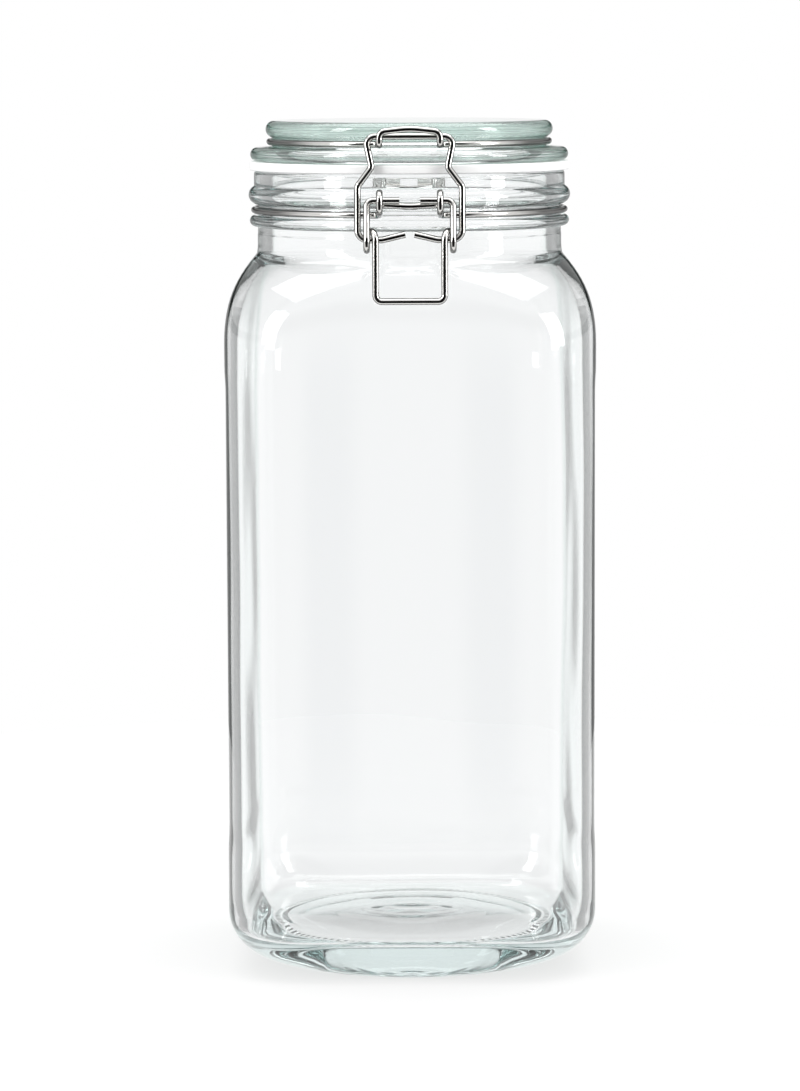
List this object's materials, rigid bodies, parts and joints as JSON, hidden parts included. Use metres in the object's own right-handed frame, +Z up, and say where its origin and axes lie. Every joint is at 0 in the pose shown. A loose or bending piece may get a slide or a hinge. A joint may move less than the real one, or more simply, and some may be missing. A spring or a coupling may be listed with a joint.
{
  "type": "clip-top jar",
  "caption": "Empty square glass storage jar with a round neck, rubber-sealed glass lid and a bent-wire clip with a fold-down lever.",
  "frame": {"origin": "on the jar's axis at the surface it stands on", "axes": "+Z up along the jar's axis, -Y towards the clip, +Y towards the lid's hinge, +X to the right seen from the clip"},
  "size_m": [0.1126, 0.1152, 0.2585],
  "materials": {
    "jar_glass": "clear pressed glass with a faint green tint",
    "lid_glass": "clear pressed glass with a faint green tint",
    "seal_rubber": "smooth translucent white rubber",
    "wire_steel": "bright drawn stainless wire"
  },
  "bodies": {
    "jar": {"glass_jar": "jar_glass", "neck_wire": "wire_steel"},
    "lid": {"glass_lid": "lid_glass", "seal_ring": "seal_rubber", "lid_wire": "wire_steel"},
    "lever": {"lever_wire": "wire_steel"},
    "bail": {"bail_wire": "wire_steel"}
  },
  "joints": [
    {"name": "lid_hinge", "type": "hinge", "parent": "jar", "child": "lid", "pos_m": [0, 0.0528, 0.2358], "axis": [-1, 0, 0], "range_deg": [0, 198]},
    {"name": "lever_pivot", "type": "hinge", "parent": "jar", "child": "lever", "pos_m": [0, -0.0528, 0.2358], "axis": [-1, 0, 0], "range_deg": [0, 90]},
    {"name": "bail_pivot", "type": "hinge", "parent": "lever", "child": "bail", "pos_m": [0, -0.0542, 0.22425], "axis": [-1, 0, 0], "range_deg": [-60, 0]}
  ],
  "couplings": [
    {"joint": "bail_pivot", "follows": "lever_pivot", "ratio": -0.66}
  ]
}
